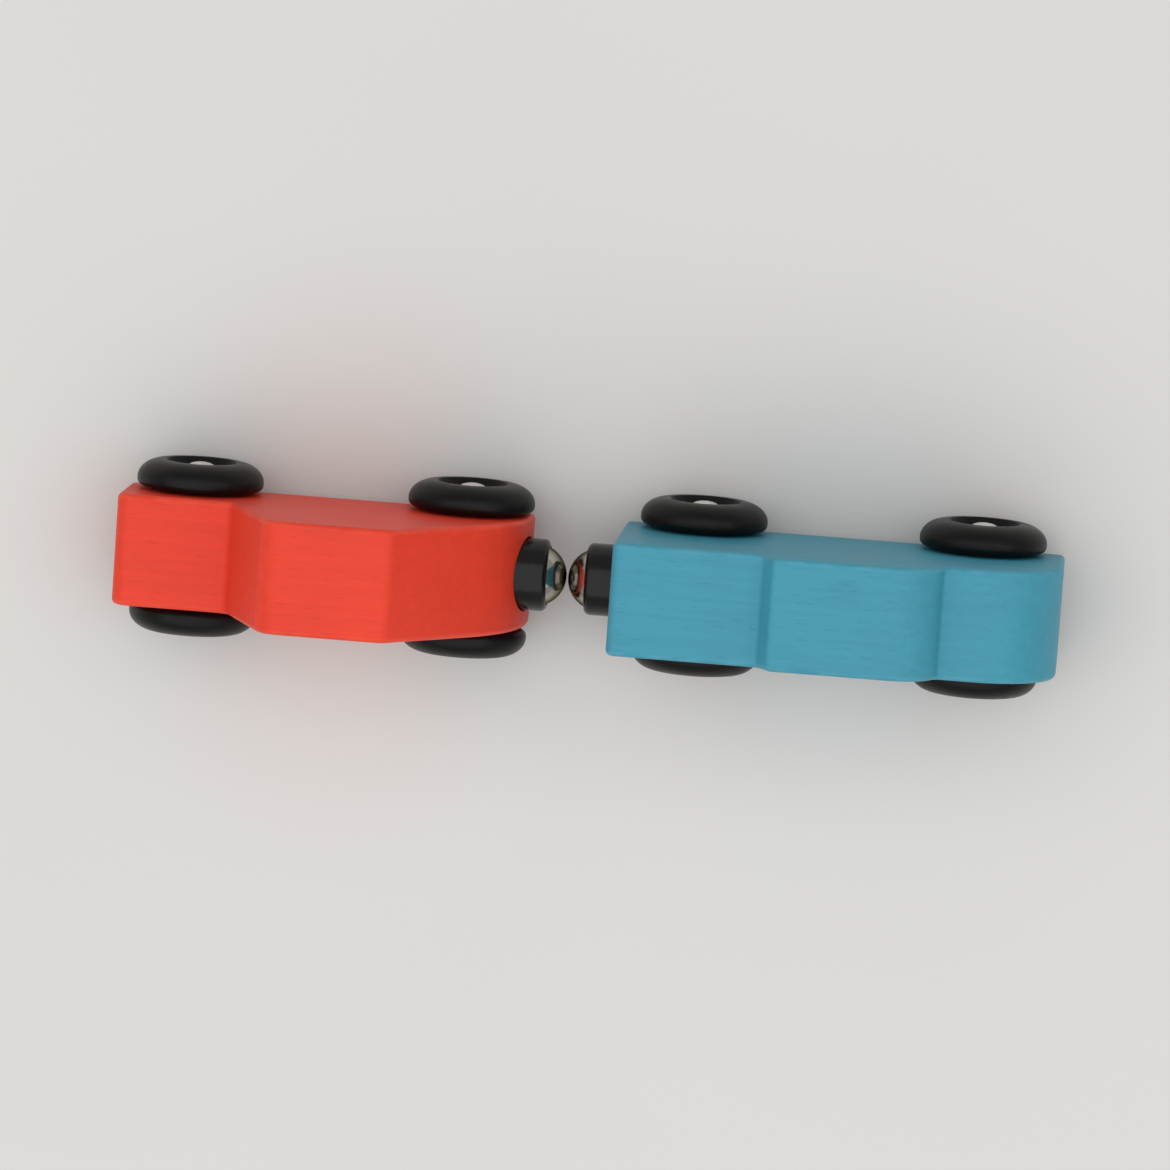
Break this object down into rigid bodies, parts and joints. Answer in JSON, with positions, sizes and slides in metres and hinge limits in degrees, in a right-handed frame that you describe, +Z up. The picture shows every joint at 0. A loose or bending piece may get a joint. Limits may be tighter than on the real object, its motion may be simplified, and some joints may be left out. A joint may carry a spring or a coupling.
{
  "type": "wooden toy train",
  "caption": "Painted wooden toy train with stepped red and blue cars on black plastic wheels, coupled by swivelling ball magnets that pull apart.",
  "frame": {"origin": "on the ground under the middle of the whole train", "axes": "+X along the train towards the blue car's nose, +Y to its left side, +Z up"},
  "size_m": [0.1722, 0.0316, 0.0495],
  "materials": {
    "red_paint": "satin red paint on wood",
    "blue_paint": "satin blue paint on wood",
    "wheel_plastic": "satin black moulded",
    "socket_plastic": "glossy black moulded",
    "pin_steel": "bright plated",
    "ball_nickel": "polished nickel plating",
    "screw_steel": "zinc plated"
  },
  "bodies": {
    "red_car": {"red_body": "red_paint", "red_rear_left_axle_pin": "pin_steel", "red_rear_right_axle_pin": "pin_steel", "red_front_left_axle_pin": "pin_steel", "red_front_right_axle_pin": "pin_steel", "red_coupler_socket": "socket_plastic", "red_coupler_screw": "screw_steel"},
    "red_magnet": {"red_coupler_ball": "ball_nickel"},
    "red_rear_left_wheel": {"red_rear_left_wheel": "wheel_plastic"},
    "red_rear_right_wheel": {"red_rear_right_wheel": "wheel_plastic"},
    "red_front_left_wheel": {"red_front_left_wheel": "wheel_plastic"},
    "red_front_right_wheel": {"red_front_right_wheel": "wheel_plastic"},
    "blue_car": {"blue_body": "blue_paint", "blue_rear_left_axle_pin": "pin_steel", "blue_rear_right_axle_pin": "pin_steel", "blue_front_left_axle_pin": "pin_steel", "blue_front_right_axle_pin": "pin_steel", "blue_coupler_socket": "socket_plastic", "blue_coupler_screw": "screw_steel"},
    "blue_magnet": {"blue_coupler_ball": "ball_nickel"},
    "blue_rear_left_wheel": {"blue_rear_left_wheel": "wheel_plastic"},
    "blue_rear_right_wheel": {"blue_rear_right_wheel": "wheel_plastic"},
    "blue_front_left_wheel": {"blue_front_left_wheel": "wheel_plastic"},
    "blue_front_right_wheel": {"blue_front_right_wheel": "wheel_plastic"}
  },
  "joints": [
    {"name": "red_rear_left_wheel_spin", "type": "hinge", "parent": "red_car", "child": "red_rear_left_wheel", "pos_m": [-0.0726, 0.0133, 0.0116], "axis": [0, 1, 0], "continuous": true},
    {"name": "red_rear_right_wheel_spin", "type": "hinge", "parent": "red_car", "child": "red_rear_right_wheel", "pos_m": [-0.0726, -0.0133, 0.0116], "axis": [0, 1, 0], "continuous": true},
    {"name": "red_front_left_wheel_spin", "type": "hinge", "parent": "red_car", "child": "red_front_left_wheel", "pos_m": [-0.0226, 0.0133, 0.0116], "axis": [0, 1, 0], "continuous": true},
    {"name": "red_front_right_wheel_spin", "type": "hinge", "parent": "red_car", "child": "red_front_right_wheel", "pos_m": [-0.0226, -0.0133, 0.0116], "axis": [0, 1, 0], "continuous": true},
    {"name": "red_magnet_swivel", "type": "hinge", "parent": "red_car", "child": "red_magnet", "pos_m": [-0.0098, 0, 0.0145], "axis": [0, 0, 1], "range_deg": [-45, 45]},
    {"name": "magnets_pull_apart", "type": "slide", "parent": "red_magnet", "child": "blue_magnet", "axis": [1, 0, 0], "range_m": [0, 0.03]},
    {"name": "blue_car_pitch", "type": "hinge", "parent": "blue_magnet", "child": "blue_car", "pos_m": [0.0019, 0, 0.0145], "axis": [0, 1, 0], "range_deg": [-12, 0]},
    {"name": "blue_rear_left_wheel_spin", "type": "hinge", "parent": "blue_car", "child": "blue_rear_left_wheel", "pos_m": [0.0201, 0.0133, 0.0116], "axis": [0, 1, 0], "continuous": true},
    {"name": "blue_rear_right_wheel_spin", "type": "hinge", "parent": "blue_car", "child": "blue_rear_right_wheel", "pos_m": [0.0201, -0.0133, 0.0116], "axis": [0, 1, 0], "continuous": true},
    {"name": "blue_front_left_wheel_spin", "type": "hinge", "parent": "blue_car", "child": "blue_front_left_wheel", "pos_m": [0.0711, 0.0133, 0.0116], "axis": [0, 1, 0], "continuous": true},
    {"name": "blue_front_right_wheel_spin", "type": "hinge", "parent": "blue_car", "child": "blue_front_right_wheel", "pos_m": [0.0711, -0.0133, 0.0116], "axis": [0, 1, 0], "continuous": true}
  ]
}
